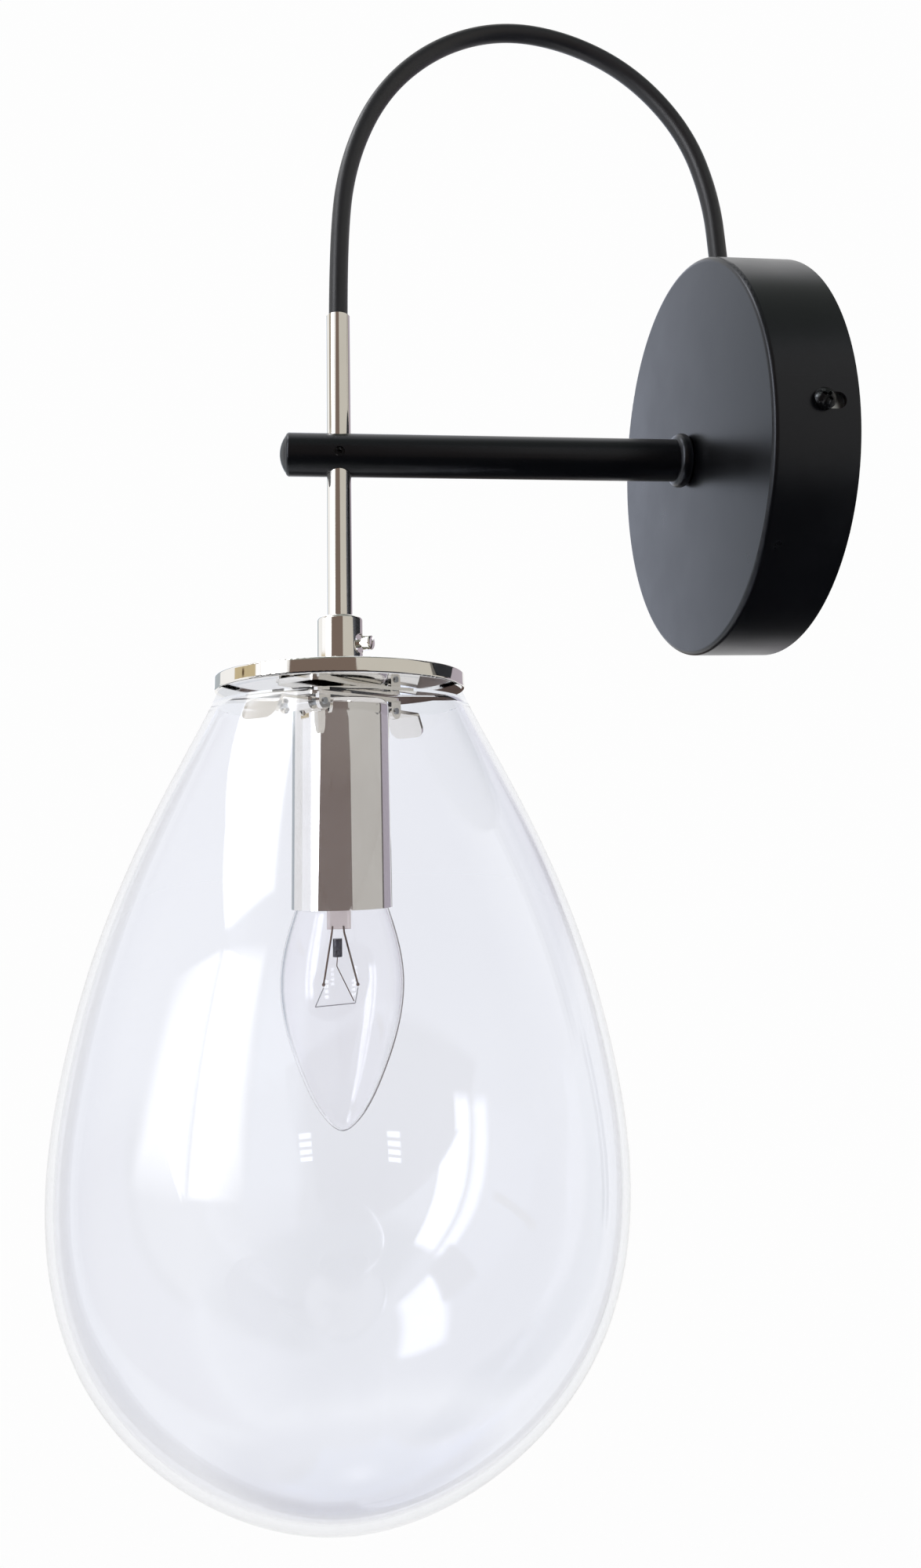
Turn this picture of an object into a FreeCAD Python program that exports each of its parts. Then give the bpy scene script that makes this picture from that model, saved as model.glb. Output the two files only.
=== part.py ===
import FreeCAD
import Part
import math
import os

# Hanging pendant wall sconce: a round canopy on the wall, a straight arm, an upright rod that
# slides through the arm, and an egg-shaped glass shade that hangs under a flat disc.
# Millimetres. The origin is on the wall behind the canopy's centre, the wall is the plane Y = 0,
# the room is towards -Y and +Z is up.

# canopy: a pressed steel pan, open towards the wall
canopy_diameter = 120.0
canopy_depth = 23.0
canopy_sheet = 1.2
canopy_edge_radius = 1.4
side_screw_below_centre = 6.3
side_screw_from_wall = 9.8
side_slot_height = 4.4
side_slot_length = 8.4
side_screw_head_diameter = 5.8
side_screw_head_height = 2.3
arm_hole_radius = 4.7
cable_hole_radius = 4.1
cable_bush_flange_radius = 5.2

# strap behind the canopy
strap_length = 114.4
strap_width = 24.0
strap_thickness = 1.5
strap_ear_depth = 16.0
strap_ear_half_width = 7.0
strap_tapped_radius = 1.5
earth_screw_x = -18.0
tongue_width = 20.0
tongue_top = 36.0
wall_slot_spacing = 64.0
wall_slot_length = 11.0
wall_slot_width = 4.4
block_half_width = 8.5
block_front = 12.5
block_low = 14.0
block_high = 29.0
block_pole_x = 4.2
block_pole_z = 21.5
block_foot_screw_z = 32.5

# arm
arm_diameter = 13.0
arm_bore = 9.0
arm_reach = 130.0
arm_overhang = 14.5
arm_cap_dome = 3.0
collar_diameter = 16.6
collar_thickness = 4.2
collar_edge_radius = 1.9
nipple_bore_radius = 2.9
nipple_length = 32.0
nipple_inner_end = 12.0
arm_washer_thickness = 1.2
arm_nut_across_flats = 14.0
arm_nut_thickness = 5.0
grub_screw_z = -1.1
grub_screw_radius = 1.44
grub_screw_length = 2.3
grub_socket_radius = 0.8
grub_socket_depth = 1.0

# upright rod
rod_diameter = 7.3
rod_bore = 4.6
rod_above_arm = 45.5
rod_thread_diameter = 6.6
rod_running_gap = 0.05
rod_mouth_depth = 14.0
rod_end = -83.8

# cap of the shade
disc_diameter = 70.0
disc_thickness = 4.2
disc_underside = -71.0
sleeve_diameter = 13.1
sleeve_height = 17.2
sleeve_screw_z = -57.6
sleeve_screw_angle = 61.0

# glass shade
glass_top = -71.1
glass_bottom = -262.2
glass_wall = 1.8
neck_opening_radius = 30.0
neck_outer_radius = 34.4
glass_profile = [
    (47.1, -98.0),
    (60.6, -130.0),
    (69.5, -166.0),
    (71.4, -191.0),
    (64.5, -221.4),
    (40.1, -248.0),
]

# glass holder with two sprung wings
wing_angle = -41.0
wing_pivot_radius = 16.0
wing_pivot_z = -75.7
wing_above_pivot = 0.9
wing_width = 11.6
wing_sheet = 1.0
wing_knuckle_radius = 1.9
wing_knuckle_half_width = 3.6
wing_flat_end = 30.4
wing_tab_length = 7.2
wing_tab_slope = 64.0
wing_tab_corner = 2.8
carrier_thickness = 1.5
carrier_width = 15.4
carrier_half_length = 19.0
carrier_ear_radius = 2.3
carrier_ear_sheet = 1.2
wing_pin_diameter = 1.8

# lampholder and its cover
cover_diameter = 27.0
cover_wall = 0.7
cover_top = -73.5
cover_bottom = -129.0
holder_top = -80.2
holder_mouth = -112.0
holder_radius = 11.6
holder_waist_z = -96.0
holder_floor = -87.2
holder_bore_radius = 6.9
holder_chamber_radius = 5.2
holder_chamber_top = -84.6
socket_shell_radius = 6.86
socket_shell_sheet = 0.51
socket_shell_low = -109.0
socket_shell_length = 20.5
lock_nut_across_flats = 11.0
lock_nut_thickness = 3.3

# candle lamp
lamp_diameter = 32.6
lamp_widest = -146.4
lamp_tip = -183.4
lamp_tip_radius = 3.6
lamp_tip_rise = 1.9
lamp_base = -86.6
lamp_cap_radius = 5.95
lamp_neck_radius = 5.1
lamp_neck_end = -109.4
lamp_glass_wall = 0.6
lamp_shoulder = [(5.8, -114.2), (9.3, -121.6), (12.65, -129.8)]
lamp_taper = [(15.0, -157.8), (10.7, -170.0), (6.9, -177.4)]
lead_wire_diameter = 0.5
lead_knot_radius = 0.46
support_wire_diameter = 0.26
filament_diameter = 0.4

# cable
cable_diameter = 5.8
core_diameter = 1.9
core_offset = 1.05
cable_entry_from_wall = 5.9
cable_route = [
    (-130.0, 34.0),
    (-130.0, 75.0),
    (-125.8, 103.6),
    (-114.8, 128.6),
    (-96.6, 146.4),
    (-74.2, 154.6),
    (-50.8, 151.2),
    (-29.4, 139.0),
    (-13.0, 117.6),
    (-6.4, 93.0),
    (-5.9, 69.0),
    (-5.9, 46.0),
]

rod_y = -arm_reach
arm_tip = rod_y - arm_overhang
disc_top = disc_underside + disc_thickness
sleeve_top = disc_top + sleeve_height
UP = FreeCAD.Vector(0, 0, 1)
OUT = FreeCAD.Vector(0, -1, 0)
SIDE = FreeCAD.Vector(1, 0, 0)


def vec(x, y, z):
    return FreeCAD.Vector(x, y, z)


def save(name, shape):
    """Check one piece and write it to its own file."""
    if not shape.isValid():
        raise ValueError(name + " is not a valid solid")
    shape.exportStep("parts/" + name + ".step")
    print(name, "solids", len(shape.Solids), "volume", round(shape.Volume, 1))


def rod(radius, start, direction, length):
    return Part.makeCylinder(radius, length, start, direction)


def ring(outer, inner, start, direction, length):
    return rod(outer, start, direction, length).cut(rod(inner, start, direction, length))


def box(low, high):
    size = high - low
    return Part.makeBox(size.x, size.y, size.z, low)


def outline(points):
    """Closed chain of edges: a pair of numbers is a corner, and a triple marks the middle of an arc."""
    edges = []
    here = points[0]
    through = None
    for point in list(points[1:]) + [points[0]]:
        if len(point) == 3:
            through = point
            continue
        start = vec(here[0], 0, here[1])
        end = vec(point[0], 0, point[1])
        if through is None:
            edges.append(Part.LineSegment(start, end).toShape())
        else:
            middle = vec(through[0], 0, through[1])
            edges.append(Part.Arc(start, middle, end).toShape())
        here = point
        through = None
    return edges


def dome(radius, rim, crown):
    """Middle of a round cap's arc, whose centre lies on the axis."""
    rise = abs(crown - rim)
    sphere = (radius * radius + rise * rise) / (2 * rise)
    half_angle = math.asin(radius / sphere) / 2
    drop = sphere * (1 - math.cos(half_angle))
    return (sphere * math.sin(half_angle), crown - math.copysign(drop, crown - rim), "arc")


def turned_about_rod(edges):
    """Revolve a half outline, given as radius and height, about the rod's axis."""
    face = Part.Face(Part.Wire(edges))
    solid = face.revolve(vec(0, 0, 0), UP, 360)
    solid.translate(vec(0, rod_y, 0))
    return solid


def turned_about_arm(points):
    """Revolve a half outline, given as radius and distance from the wall, about the arm's axis."""
    solid = Part.Face(Part.Wire(outline(points))).revolve(vec(0, 0, 0), UP, 360)
    solid.rotate(vec(0, 0, 0), SIDE, 90)
    return solid


def hexagon_nut(across_flats, hole_radius, start, direction, thickness):
    """Hexagon nut with both faces chamfered at the corners."""
    corner = across_flats / math.sqrt(3)
    turns = [i * math.pi / 3 for i in range(7)]
    points = [vec(corner * math.cos(t), corner * math.sin(t), 0) for t in turns]
    prism = Part.Face(Part.makePolygon(points)).extrude(vec(0, 0, thickness))
    cone_edges = outline([
        (0, 0),
        (across_flats / 2, 0),
        (corner + 0.4, thickness * 0.25),
        (corner + 0.4, thickness * 0.75),
        (across_flats / 2, thickness),
        (0, thickness),
    ])
    barrel = Part.Face(Part.Wire(cone_edges)).revolve(vec(0, 0, 0), UP, 360)
    nut = prism.common(barrel).cut(rod(hole_radius, vec(0, 0, 0), UP, thickness))
    turn = FreeCAD.Rotation(UP, direction)
    nut.Placement = FreeCAD.Placement(start, turn)
    return nut


def slotted_link(length, width, thickness):
    """Flat bar with round ends that cuts a slot, centred on the origin and lying along X."""
    straight = length - width
    bar = Part.makeBox(straight, width, thickness, vec(-straight / 2, -width / 2, -thickness / 2))
    for x in (-straight / 2, straight / 2):
        bar = bar.fuse(rod(width / 2, vec(x, 0, -thickness / 2), UP, thickness))
    return bar


def placed(shape, position, turn):
    moved = shape.copy()
    moved.Placement = FreeCAD.Placement(position, turn)
    return moved


# Canopy

def canopy_cover():
    """Pan with a rounded front edge, the arm's hole, the cable's hole and two side slots."""
    radius = canopy_diameter / 2
    inner = radius - canopy_sheet
    bend = canopy_edge_radius
    inner_bend = bend - canopy_sheet
    diagonal = 1 - math.sqrt(0.5)
    pan = turned_about_arm([
        (0, canopy_depth),
        (radius - bend, canopy_depth),
        (radius - bend * diagonal, canopy_depth - bend * diagonal, "arc"),
        (radius, canopy_depth - bend),
        (radius, 0),
        (inner, 0),
        (inner, canopy_depth - bend),
        (inner - inner_bend * diagonal, canopy_depth - canopy_sheet - inner_bend * diagonal, "arc"),
        (inner - inner_bend, canopy_depth - canopy_sheet),
        (0, canopy_depth - canopy_sheet),
    ])
    pan = pan.cut(rod(arm_hole_radius, vec(0, -canopy_depth - 1, 0), vec(0, 1, 0), canopy_sheet + 2))
    pan = pan.cut(rod(cable_hole_radius, vec(0, -cable_entry_from_wall, inner - 2), UP, canopy_sheet + 4))
    slot = slotted_link(side_slot_length, side_slot_height, 8)
    upright = FreeCAD.Rotation(vec(0, 1, 0), 90).multiply(FreeCAD.Rotation(UP, 90))
    slot_y = -side_screw_from_wall + (side_slot_length - side_slot_height) / 2
    for side in (-1, 1):
        cutter = placed(slot, vec(side * radius, slot_y, -side_screw_below_centre), upright)
        pan = pan.cut(cutter)
    return pan


def canopy_side_screws():
    """Two pan-head screws that pull the canopy onto the strap's ears, one at each side."""
    head_radius = side_screw_head_diameter / 2
    seat = canopy_diameter / 2 + 0.02
    crown = side_screw_head_height
    screw = Part.Face(Part.Wire(outline([
        (0, -8.0),
        (1.45, -8.0),
        (1.45, 0),
        (head_radius, 0),
        (head_radius, 0.9),
        dome(head_radius, 0.9, crown),
        (0, crown),
    ]))).revolve(vec(0, 0, 0), UP, 360)
    for angle in (0, 90):
        blade = Part.makeBox(3.2, 0.8, 1.3, vec(-1.6, -0.4, crown - 1.3))
        blade.rotate(vec(0, 0, 0), UP, angle + 45)
        screw = screw.cut(blade)
    screws = []
    for side in (-1, 1):
        turn = FreeCAD.Rotation(UP, vec(side, 0, 0))
        position = vec(side * seat, -side_screw_from_wall, -side_screw_below_centre)
        screws.append(placed(screw, position, turn))
    return Part.makeCompound(screws)


def cable_bush():
    """Moulded bush in the rim where the cable goes in, with its flange inside the pan."""
    rim = canopy_diameter / 2
    inner = rim - canopy_sheet
    bore = cable_diameter / 2 + 0.05
    start = vec(0, -cable_entry_from_wall, inner - 1.6)
    body = ring(cable_hole_radius - 0.1, bore, start, UP, rim + 0.3 - (inner - 1.6))
    flange = ring(cable_bush_flange_radius, bore, start, UP, 1.3)
    return body.fuse(flange).removeSplitter()


# Strap on the wall

def wall_bracket():
    """Pressed strap with two slots for the wall screws, turned ears and a tongue for the terminal block."""
    half = strap_length / 2
    width = strap_width / 2
    plate = box(vec(-half, -strap_thickness, -width), vec(half, 0, width))
    tongue = box(vec(-tongue_width / 2, -strap_thickness, 0), vec(tongue_width / 2, 0, tongue_top))
    strap = plate.fuse(tongue).removeSplitter()
    upright = [e for e in strap.Edges if abs(e.tangentAt(e.FirstParameter).y) > 0.99]
    corners = [e for e in upright if abs(e.Vertexes[0].Z) > width - 0.01 and abs(e.Vertexes[0].X) < half - 1]
    strap = strap.makeFillet(3.0, corners)
    for side in (-1, 1):
        outer = side * half
        inner = side * (half - strap_thickness)
        ear_low = -side_screw_below_centre - strap_ear_half_width
        ear_high = -side_screw_below_centre + strap_ear_half_width
        low = vec(min(outer, inner), -strap_ear_depth, ear_low)
        high = vec(max(outer, inner), -strap_thickness / 2, ear_high)
        ear = box(low, high)
        front = [e for e in ear.Edges if e.BoundBox.YMax < -strap_ear_depth + 0.01 and e.Length < 2]
        ear = ear.makeFillet(3.5, front)
        strap = strap.fuse(ear)
        behind_ear = vec(outer - side * 4, -side_screw_from_wall, -side_screw_below_centre)
        strap = strap.cut(rod(strap_tapped_radius, behind_ear, vec(side, 0, 0), 6))
    slot = slotted_link(wall_slot_length, wall_slot_width, 6)
    lying = FreeCAD.Rotation(SIDE, 90)
    for x in (-wall_slot_spacing / 2, wall_slot_spacing / 2):
        strap = strap.cut(placed(slot, vec(x, 0, 0), lying))
    strap = strap.cut(rod(strap_tapped_radius, vec(earth_screw_x, -3, 0), vec(0, 1, 0), 6))
    strap = strap.cut(rod(strap_tapped_radius, vec(0, -3, block_foot_screw_z), vec(0, 1, 0), 6))
    return strap.removeSplitter()


def pan_screw(head_radius, head_height, shank_radius, shank_length):
    """Round-head screw along +Z with its seat at the origin and a straight slot."""
    screw = Part.Face(Part.Wire(outline([
        (0, -shank_length),
        (shank_radius, -shank_length),
        (shank_radius, 0),
        (head_radius, 0),
        (head_radius, head_height * 0.45),
        dome(head_radius, head_height * 0.45, head_height),
        (0, head_height),
    ]))).revolve(vec(0, 0, 0), UP, 360)
    depth = 0.9
    width = 0.7
    blade_start = vec(-head_radius * 1.5, -width / 2, head_height - depth)
    return screw.cut(Part.makeBox(head_radius * 3, width, depth, blade_start))


def earth_screw():
    """Earth screw in the strap, with its cup washer."""
    turn = FreeCAD.Rotation(UP, OUT)
    washer_thickness = 0.8
    washer = ring(4.0, strap_tapped_radius, vec(earth_screw_x, -strap_thickness, 0), OUT, washer_thickness)
    seat = vec(earth_screw_x, -strap_thickness - washer_thickness, 0)
    screw = placed(pan_screw(3.2, 2.2, 1.45, 3.0), seat, turn)
    return Part.makeCompound([washer, screw])


def terminal_block():
    """Two-pole moulded terminal block that sits on the strap's tongue."""
    low = vec(-block_half_width, -block_front, block_low)
    high = vec(block_half_width, -strap_thickness, block_high)
    block = box(low, high)
    foot = box(vec(-3.2, -4.0, block_high - 1), vec(3.2, -strap_thickness, block_foot_screw_z + 3))
    block = block.fuse(foot)
    boss_front = block_front + 2.5
    for x in (-block_pole_x, block_pole_x):
        boss = rod(3.3, vec(x, -boss_front, block_pole_z), vec(0, 1, 0), 4)
        block = block.fuse(boss)
        block = block.cut(rod(2.0, vec(x, -boss_front - 1, block_pole_z), vec(0, 1, 0), 7))
        block = block.cut(rod(1.4, vec(x, -cable_entry_from_wall, block_low - 4), UP, 24))
    block = block.cut(rod(1.6, vec(0, -6.0, block_foot_screw_z), vec(0, 1, 0), 8))
    return block.removeSplitter()


def terminal_screws():
    """Clamping screws of the terminal block and the screw that holds its foot."""
    turn = FreeCAD.Rotation(UP, OUT)
    screws = []
    for x in (-block_pole_x, block_pole_x):
        screws.append(placed(pan_screw(1.9, 1.4, 1.3, 3.2), vec(x, -12.4, block_pole_z), turn))
    screws.append(placed(pan_screw(2.6, 1.7, 1.4, 5.0), vec(0, -4.05, block_foot_screw_z), turn))
    return Part.makeCompound(screws)


# Arm

def arm_tube():
    """Arm with the upright bore for the rod and the tapped side hole for its set screw."""
    start = -canopy_depth - collar_thickness
    tube = ring(arm_diameter / 2, arm_bore / 2, vec(0, start, 0), OUT, start - arm_tip)
    tube = tube.cut(rod(rod_diameter / 2 + rod_running_gap, vec(0, rod_y, -20), UP, 40))
    return tube.cut(rod(grub_screw_radius + 0.06, vec(0, rod_y, grub_screw_z), SIDE, arm_diameter))


def arm_end_cap():
    """Turned plug in the arm's free end: a shallow dome with a rounded shoulder."""
    radius = arm_diameter / 2
    spigot = arm_bore / 2 - 0.03
    shoulder = 0.9
    end = -arm_tip
    return turned_about_arm([
        (0, end - 7.0),
        (spigot - 0.4, end - 7.0),
        (spigot, end - 6.6),
        (spigot, end),
        (radius, end),
        (radius, end + 0.3),
        (radius - shoulder * 0.35, end + 0.3 + shoulder * 0.65, "arc"),
        (radius - shoulder, end + 0.3 + shoulder),
        dome(radius - shoulder, end + 0.3 + shoulder, end + arm_cap_dome),
        (0, end + arm_cap_dome),
    ])


def arm_collar():
    """Turned ring between the arm and the canopy's face, with both edges rounded."""
    outer = collar_diameter / 2
    wall_side = canopy_depth
    arm_side = canopy_depth + collar_thickness
    bend = collar_edge_radius
    near_corner = bend * (1 - math.sqrt(0.5))
    return turned_about_arm([
        (arm_hole_radius, wall_side),
        (outer - bend, wall_side),
        (outer - near_corner, wall_side + near_corner, "arc"),
        (outer, wall_side + bend),
        (outer, arm_side - bend),
        (outer - near_corner, arm_side - near_corner, "arc"),
        (outer - bend, arm_side),
        (arm_hole_radius, arm_side),
    ])


def arm_nipple():
    """Hollow threaded stud that joins the arm to the canopy."""
    return ring(arm_bore / 2 - 0.04, nipple_bore_radius, vec(0, -nipple_inner_end, 0), OUT, nipple_length)


def arm_washer():
    """Plain washer inside the canopy, under the nut."""
    start = vec(0, -canopy_depth + canopy_sheet + arm_washer_thickness, 0)
    return ring(9.0, arm_hole_radius, start, OUT, arm_washer_thickness)


def arm_nut():
    """Nut that draws the arm and its collar against the canopy."""
    start = vec(0, -canopy_depth + canopy_sheet + arm_washer_thickness + arm_nut_thickness, 0)
    return hexagon_nut(arm_nut_across_flats, arm_bore / 2, start, OUT, arm_nut_thickness)


def arm_grub_screw():
    """Hexagon-socket set screw that clamps the rod in the arm."""
    tip = rod_diameter / 2 + rod_running_gap
    body = rod(grub_screw_radius, vec(tip, rod_y, grub_screw_z), SIDE, grub_screw_length)
    turns = [i * math.pi / 3 for i in range(7)]
    points = [vec(grub_socket_radius * math.cos(t), grub_socket_radius * math.sin(t), 0) for t in turns]
    socket = Part.Face(Part.makePolygon(points)).extrude(vec(0, 0, grub_socket_depth + 1))
    bottom = vec(tip + grub_screw_length - grub_socket_depth, rod_y, grub_screw_z)
    socket.Placement = FreeCAD.Placement(bottom, FreeCAD.Rotation(UP, SIDE))
    return body.cut(socket)


# Rod and the cap of the shade

def rod_tube():
    """Upright tube: a wider mouth for the cable, and a thread under a shoulder for the glass holder."""
    radius = rod_diameter / 2
    bore = rod_bore / 2
    mouth = cable_diameter / 2 + 0.15
    thread = rod_thread_diameter / 2
    shoulder = disc_underside - 0.8
    return turned_about_rod(outline([
        (mouth, rod_above_arm),
        (radius - 0.3, rod_above_arm),
        (radius, rod_above_arm - 0.3),
        (radius, shoulder),
        (thread, shoulder),
        (thread, rod_end + 0.4),
        (thread - 0.4, rod_end),
        (bore, rod_end),
        (bore, rod_above_arm - rod_mouth_depth),
        (mouth, rod_above_arm - rod_mouth_depth),
    ]))


def sleeve_axis():
    angle = math.radians(sleeve_screw_angle)
    return vec(math.cos(angle), math.sin(angle), 0)


def shade_coupler():
    """Turned sleeve on the disc, with a rounded top edge, a spot face and a tapped side hole."""
    radius = sleeve_diameter / 2
    bore = rod_diameter / 2 + rod_running_gap
    body = turned_about_rod(outline([
        (bore, disc_top),
        (radius, disc_top),
        (radius, sleeve_top - 1.0),
        (radius - 0.3, sleeve_top - 0.3, "arc"),
        (radius - 1.0, sleeve_top),
        (bore, sleeve_top),
    ]))
    centre = vec(0, rod_y, sleeve_screw_z)
    body = body.cut(rod(1.25, centre, sleeve_axis(), 12))
    return body.cut(rod(2.9, centre + sleeve_axis() * (radius - 0.45), sleeve_axis(), 4))


def coupler_screw():
    """Slotted cheese-head screw that clamps the sleeve on the rod."""
    tip = rod_diameter / 2 + rod_running_gap + 0.05
    seat = sleeve_diameter / 2 + 1.1
    head = Part.Face(Part.Wire(outline([
        (0, tip - seat),
        (1.2, tip - seat),
        (1.2, 0),
        (2.15, 0),
        (2.15, 1.9),
        (2.0, 2.25, "arc"),
        (1.65, 2.4),
        (0, 2.4),
    ]))).revolve(vec(0, 0, 0), UP, 360)
    head = head.cut(Part.makeBox(6, 0.75, 1.2, vec(-3, -0.375, 1.35)))
    position = vec(0, rod_y, sleeve_screw_z) + sleeve_axis() * seat
    return placed(head, position, FreeCAD.Rotation(UP, sleeve_axis()).multiply(FreeCAD.Rotation(UP, 35)))


def disc_cap():
    """Flat turned disc that lies on the glass."""
    radius = disc_diameter / 2
    bore = rod_diameter / 2 + rod_running_gap
    ease = 0.6
    diagonal = ease * (1 - math.sqrt(0.5))
    return turned_about_rod(outline([
        (bore, disc_underside),
        (radius - ease, disc_underside),
        (radius - diagonal, disc_underside + diagonal, "arc"),
        (radius, disc_underside + ease),
        (radius, disc_top - ease),
        (radius - diagonal, disc_top - diagonal, "arc"),
        (radius - ease, disc_top),
        (bore, disc_top),
    ]))


# Glass shade

def glass_shade():
    """Blown egg with an even wall and a ground, turned-in rim at the neck."""
    outer_points = [vec(neck_outer_radius, 0, glass_top - 1.2)]
    outer_points += [vec(r, 0, z) for r, z in glass_profile]
    outer_points.append(vec(0, 0, glass_bottom))
    outer = Part.BSplineCurve()
    outer.interpolate(Points=outer_points, InitialTangent=vec(0.42, 0, -0.91), FinalTangent=vec(-1, 0, 0.0))
    steps = len(outer_points) - 1
    inner_points = []
    for i in range(steps + 1):
        u = outer.FirstParameter + (outer.LastParameter - outer.FirstParameter) * i / steps
        direction = outer.tangent(u)[0]
        inward = vec(direction.z, 0, -direction.x)
        inner_points.append(outer.value(u) + inward * glass_wall)
    inner_points[0] = vec(neck_outer_radius - glass_wall * 0.45, 0, glass_top - 3.6)
    inner_points[-1] = vec(0, 0, glass_bottom + glass_wall)
    inner = Part.BSplineCurve()
    inner.interpolate(Points=inner_points, InitialTangent=vec(0.42, 0, -0.91), FinalTangent=vec(-1, 0, 0.0))
    lip = neck_opening_radius
    rim = outline([
        (inner_points[0].x, inner_points[0].z),
        (lip + 0.3, glass_top - 2.4),
        (lip, glass_top - 1.7, "arc"),
        (lip + 0.1, glass_top - 0.8),
        (lip + 0.3, glass_top - 0.2, "arc"),
        (lip + 0.9, glass_top),
        (neck_outer_radius - 1.2, glass_top),
        (neck_outer_radius - 0.35, glass_top - 0.35, "arc"),
        (neck_outer_radius, glass_top - 1.2),
    ])[:-1]
    foot = Part.LineSegment(vec(0, 0, glass_bottom), vec(0, 0, glass_bottom + glass_wall)).toShape()
    edges = rim + [outer.toShape(), foot, inner.toShape()]
    return turned_about_rod(Part.__sortEdges__(edges))


# Glass holder

def along_wing(angle):
    return FreeCAD.Placement(vec(0, rod_y, 0), FreeCAD.Rotation(UP, angle))


def holder_carrier():
    """Strip clamped under the rod's shoulder, with a pair of turned-down ears at each end."""
    top = disc_underside - 0.85
    half = carrier_half_length
    wide = carrier_width / 2
    strip = box(vec(-half, -wide, top - carrier_thickness), vec(half, wide, top))
    strip = strip.makeFillet(2.5, [e for e in strip.Edges if abs(e.tangentAt(e.FirstParameter).z) > 0.99])
    for side in (-1, 1):
        pivot_x = side * wing_pivot_radius
        for edge in (-1, 1):
            outer = edge * wide
            inner = edge * (wide - carrier_ear_sheet)
            low = vec(pivot_x - carrier_ear_radius, min(outer, inner), wing_pivot_z)
            high = vec(pivot_x + carrier_ear_radius, max(outer, inner), top - carrier_thickness / 2)
            lobe_start = vec(pivot_x, min(outer, inner), wing_pivot_z)
            lobe = rod(carrier_ear_radius, lobe_start, vec(0, 1, 0), carrier_ear_sheet)
            strip = strip.fuse(box(low, high).fuse(lobe))
        pin_start = vec(pivot_x, -wide - 1, wing_pivot_z)
        strip = strip.cut(rod(wing_pin_diameter / 2, pin_start, vec(0, 1, 0), carrier_width + 2))
    strip = strip.cut(rod(rod_thread_diameter / 2 + 0.05, vec(0, 0, top - 5), UP, 10))
    strip = strip.removeSplitter()
    strip.Placement = along_wing(wing_angle)
    return strip


def wing_pins():
    """Two pins, one through each pair of ears."""
    pins = []
    proud = 0.4
    for side in (-1, 1):
        start = vec(side * wing_pivot_radius, -carrier_width / 2 - proud, wing_pivot_z)
        pins.append(rod(wing_pin_diameter / 2 - 0.01, start, vec(0, 1, 0), carrier_width + 2 * proud))
    group = Part.makeCompound(pins)
    group.Placement = along_wing(wing_angle)
    return group


def wing(angle):
    """Sheet wing: a rolled knuckle on the pin, a flat arm and a tab that slopes down with round corners."""
    pivot = wing_pivot_radius
    z = wing_pivot_z
    top = z + wing_above_pivot
    under = top - wing_sheet
    slope = math.radians(wing_tab_slope)
    end_x = wing_flat_end + wing_tab_length * math.cos(slope)
    end_z = top - wing_tab_length * math.sin(slope)
    across = vec(-math.sin(slope), 0, -math.cos(slope)) * wing_sheet
    half = wing_width / 2
    side_view = Part.makePolygon([
        vec(pivot, -half, top),
        vec(wing_flat_end, -half, top),
        vec(end_x, -half, end_z),
        vec(end_x + across.x, -half, end_z + across.z),
        vec(wing_flat_end - wing_sheet * math.tan(slope / 2), -half, under),
        vec(pivot, -half, under),
        vec(pivot, -half, top),
    ])
    leaf = Part.Face(side_view).extrude(vec(0, wing_width, 0))
    long_edges = [e for e in leaf.Edges if e.Length > wing_width - 0.01]
    bend_corner = vec(wing_flat_end, -half, top)
    outer_bend = [e for e in long_edges if (e.Vertexes[0].Point - bend_corner).Length < 0.1]
    leaf = leaf.makeFillet(wing_sheet * 0.9, outer_bend)
    short_edges = [e for e in leaf.Edges if abs(e.Length - wing_sheet) < 0.01]
    tip_corners = [e for e in short_edges if e.BoundBox.ZMax < under - wing_tab_length / 2]
    leaf = leaf.makeFillet(wing_tab_corner, tip_corners)
    leaf = leaf.fuse(rod(wing_knuckle_radius, vec(pivot, -half, z), vec(0, 1, 0), wing_width))
    for side in (-1, 1):
        waist = side * wing_knuckle_half_width
        edge = side * (half + 1)
        low = vec(pivot - 3, min(waist, edge), z - 3)
        high = vec(pivot + 3, max(waist, edge), z + 4)
        leaf = leaf.cut(box(low, high))
    pin_radius = wing_pin_diameter / 2
    leaf = leaf.cut(rod(pin_radius + 0.06, vec(pivot, -wing_width, z), vec(0, 1, 0), 2 * wing_width))
    leaf = leaf.removeSplitter()
    leaf.Placement = along_wing(angle)
    return leaf


# Lampholder

def lampholder_cover():
    """Spun cup with its closed end up, clamped under the carrier."""
    radius = cover_diameter / 2
    inner = radius - cover_wall
    bend = 2.2
    inner_bend = bend - cover_wall
    diagonal = 1 - math.sqrt(0.5)
    roof = cover_top - cover_wall
    hole = rod_thread_diameter / 2 + 0.05
    return turned_about_rod(outline([
        (hole, cover_top),
        (radius - bend, cover_top),
        (radius - bend * diagonal, cover_top - bend * diagonal, "arc"),
        (radius, cover_top - bend),
        (radius, cover_bottom),
        (inner, cover_bottom),
        (inner, roof - inner_bend),
        (inner - inner_bend * diagonal, roof - inner_bend * diagonal, "arc"),
        (inner - inner_bend, roof),
        (hole, roof),
    ]))


def lock_nut():
    """Nut on the rod's thread that clamps the cover and the carrier."""
    start = vec(0, rod_y, cover_top - cover_wall - lock_nut_thickness - 0.1)
    return hexagon_nut(lock_nut_across_flats, rod_thread_diameter / 2 + 0.02, start, UP, lock_nut_thickness)


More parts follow.
